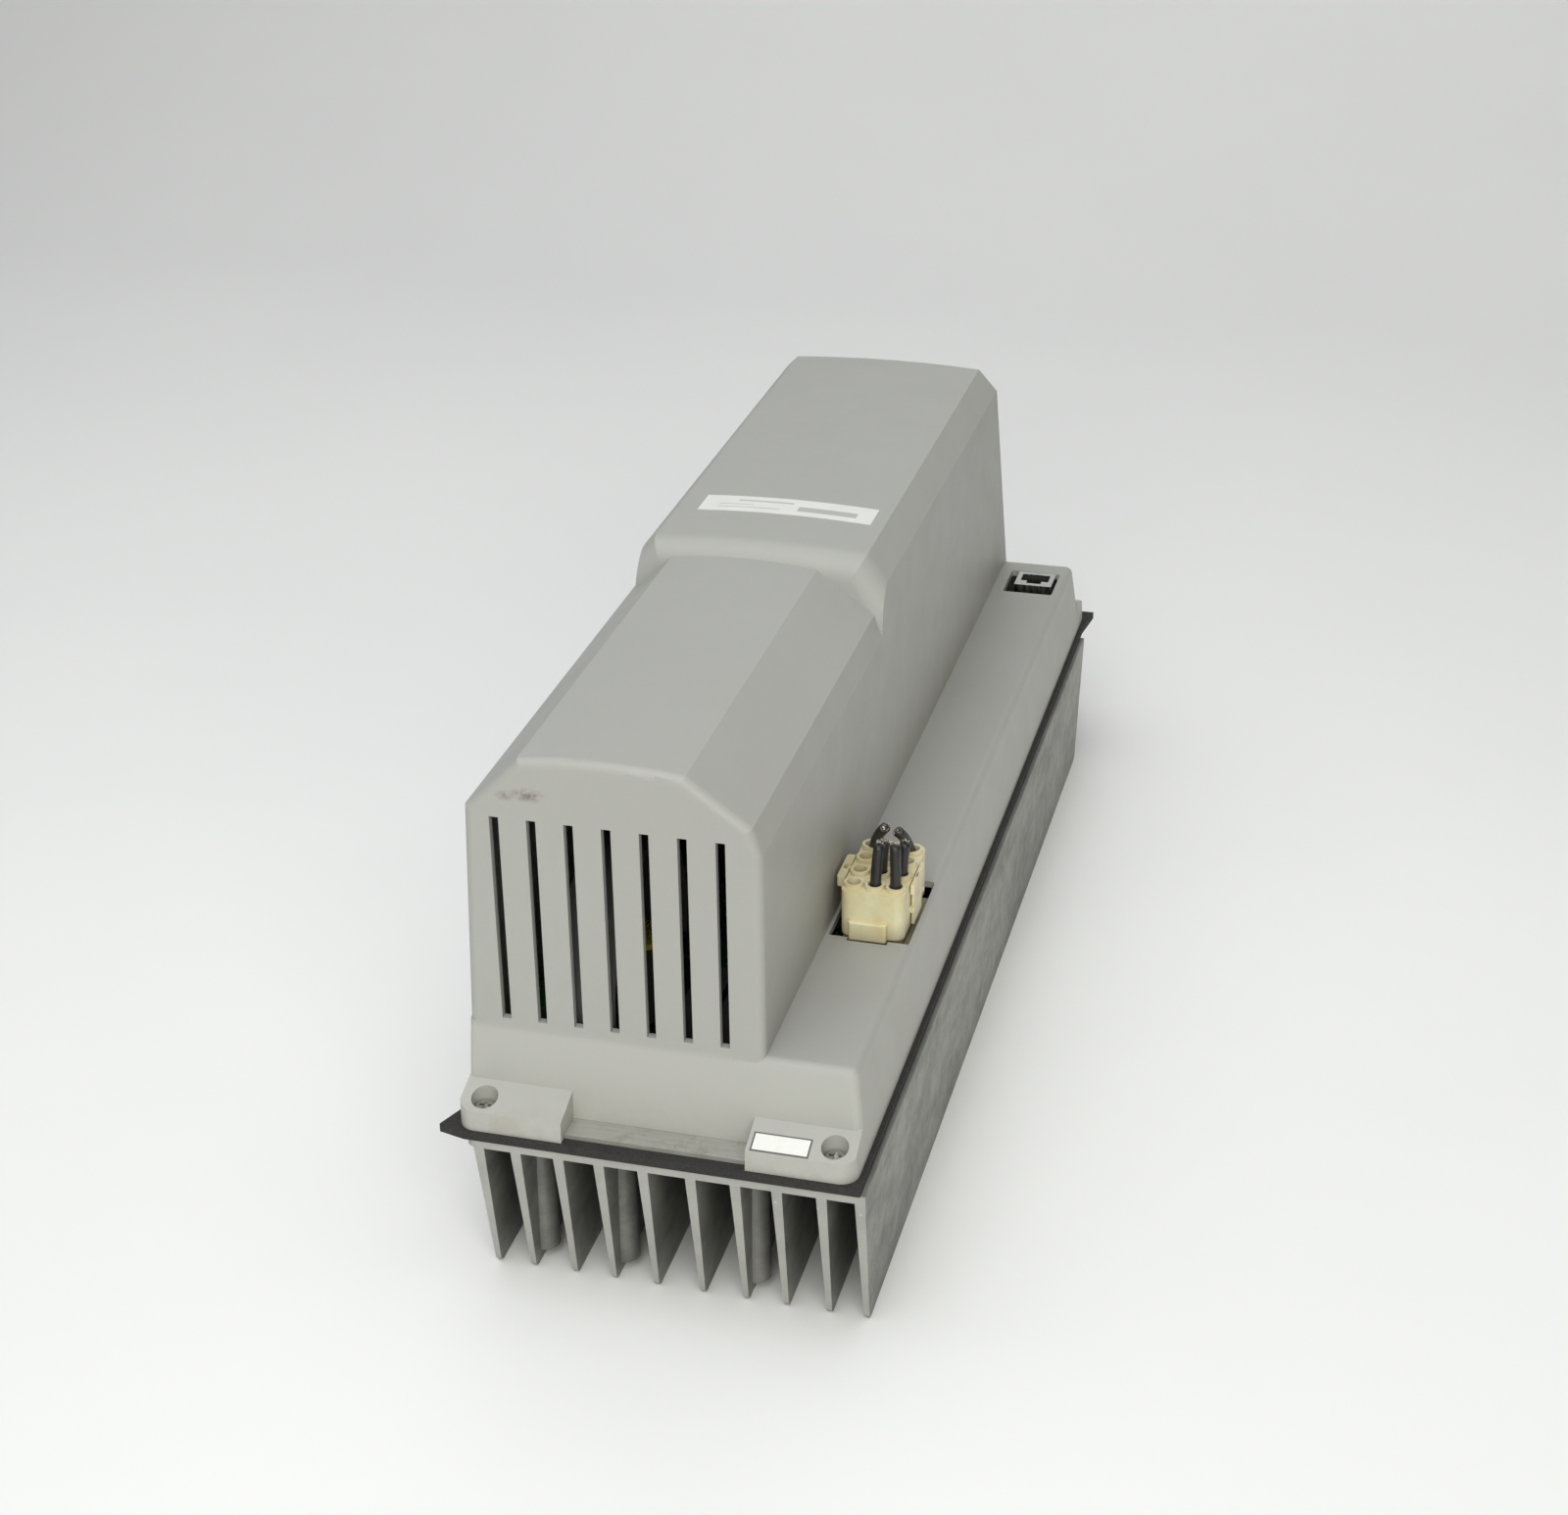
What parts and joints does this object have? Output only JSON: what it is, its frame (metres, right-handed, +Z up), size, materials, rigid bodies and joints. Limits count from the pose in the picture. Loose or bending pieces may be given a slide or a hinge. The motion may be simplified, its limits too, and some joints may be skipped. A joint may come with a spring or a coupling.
{
  "type": "variable frequency drive",
  "caption": "Motor drive with a finned heat sink, foam gasket, boards and a lift-off plastic cover with two humps, vents, a power plug and a data socket.",
  "frame": {"origin": "middle of the footprint at the level of the fin tips", "axes": "+Z up from the fins to the cover, +Y along the length away from the vented end, +X towards the connector shelf"},
  "size_m": [0.1404, 0.4468, 0.1915],
  "materials": {
    "cast_aluminium": "dull cast surface",
    "foam_rubber": "closed-cell foam",
    "sheet_steel": "dull zinc plate",
    "zinc_steel": "zinc plated",
    "cover_plastic": "fine moulded texture",
    "retainer_nylon": "natural",
    "board_laminate": "solder mask",
    "module_plastic": "moulded",
    "thermal_compound": "soft",
    "tinned_copper": "tinned",
    "capacitor_sleeve": "shrink sleeve",
    "clamp_laminate": "glass laminate",
    "black_plastic": "moulded",
    "chip_epoxy": "moulded",
    "ferrite": "coated",
    "winding_tape": "wound film",
    "cable_jacket": "ribbed",
    "sensor_plastic": "moulded",
    "relay_plastic": "moulded",
    "film_box": "potted box",
    "shield_steel": "tinned",
    "gold_contact": "gold plated",
    "ivory_nylon": "aged nylon",
    "wire_insulation": "smooth",
    "copper_strand": "cut strands",
    "label_film": "printed film",
    "sticker_paper": "paper"
  },
  "bodies": {
    "heat_sink_assembly": {"heat_sink": "cast_aluminium", "sealing_gasket": "foam_rubber", "chassis_plate": "sheet_steel", "chassis_screws": "zinc_steel", "clinch_nuts": "zinc_steel", "power_board": "board_laminate", "board_columns": "zinc_steel", "board_screws": "zinc_steel", "rectifier_module": "module_plastic", "inverter_module": "module_plastic", "thermal_pads": "thermal_compound", "module_screws": "zinc_steel", "module_pins": "tinned_copper", "dc_link_capacitors": "capacitor_sleeve", "capacitor_clamp": "clamp_laminate", "clamp_posts": "zinc_steel", "clamp_screws": "zinc_steel", "control_board": "board_laminate", "control_header": "black_plastic", "control_chips": "chip_epoxy", "choke_core": "ferrite", "choke_windings": "winding_tape", "choke_base": "black_plastic", "flat_cable": "cable_jacket", "cable_plugs": "black_plastic", "current_sensors": "sensor_plastic", "charge_relay": "relay_plastic", "film_capacitors": "film_box", "data_socket_shield": "shield_steel", "data_socket_insert": "black_plastic", "data_socket_contacts": "gold_contact", "power_header": "ivory_nylon", "header_pins": "tinned_copper"},
    "cover": {"cover": "cover_plastic", "screw_retainers": "retainer_nylon", "type_label": "label_film", "number_sticker": "sticker_paper"},
    "screw_front_left": {"captive_screw_front_left": "zinc_steel"},
    "screw_front_right": {"captive_screw_front_right": "zinc_steel"},
    "screw_rear_left": {"captive_screw_rear_left": "zinc_steel"},
    "screw_rear_right": {"captive_screw_rear_right": "zinc_steel"},
    "plug": {"plug_housing": "ivory_nylon", "plug_terminals": "tinned_copper", "wire_stubs": "wire_insulation", "wire_strands": "copper_strand"},
    "latch_left": {"plug_latch_left": "ivory_nylon"},
    "latch_right": {"plug_latch_right": "ivory_nylon"}
  },
  "joints": [
    {"name": "cover_lift", "type": "slide", "parent": "heat_sink_assembly", "child": "cover", "axis": [0, 0, 1], "range_m": [0, 0.14]},
    {"name": "plug_pull", "type": "slide", "parent": "heat_sink_assembly", "child": "plug", "axis": [0, 0, 1], "range_m": [0, 0.025]},
    {"name": "captive_screw_turn_front_left", "type": "hinge", "parent": "cover", "child": "screw_front_left", "pos_m": [-0.0562, -0.216, 0.062], "axis": [0, 0, 1], "continuous": true},
    {"name": "captive_screw_turn_front_right", "type": "hinge", "parent": "cover", "child": "screw_front_right", "pos_m": [0.0584, -0.216, 0.062], "axis": [0, 0, 1], "continuous": true},
    {"name": "captive_screw_turn_rear_left", "type": "hinge", "parent": "cover", "child": "screw_rear_left", "pos_m": [-0.0562, 0.2139, 0.062], "axis": [0, 0, 1], "continuous": true},
    {"name": "captive_screw_turn_rear_right", "type": "hinge", "parent": "cover", "child": "screw_rear_right", "pos_m": [0.0584, 0.2139, 0.062], "axis": [0, 0, 1], "continuous": true},
    {"name": "latch_squeeze_left", "type": "hinge", "parent": "plug", "child": "latch_left", "pos_m": [0.0379, -0.1121, 0.0973], "axis": [0, 1, 0], "range_deg": [0, 1.5], "stiffness_Nm_per_rad": 0.8},
    {"name": "latch_squeeze_right", "type": "hinge", "parent": "plug", "child": "latch_right", "pos_m": [0.0612, -0.1121, 0.0973], "axis": [0, -1, 0], "range_deg": [0, 1.5], "stiffness_Nm_per_rad": 0.8}
  ]
}
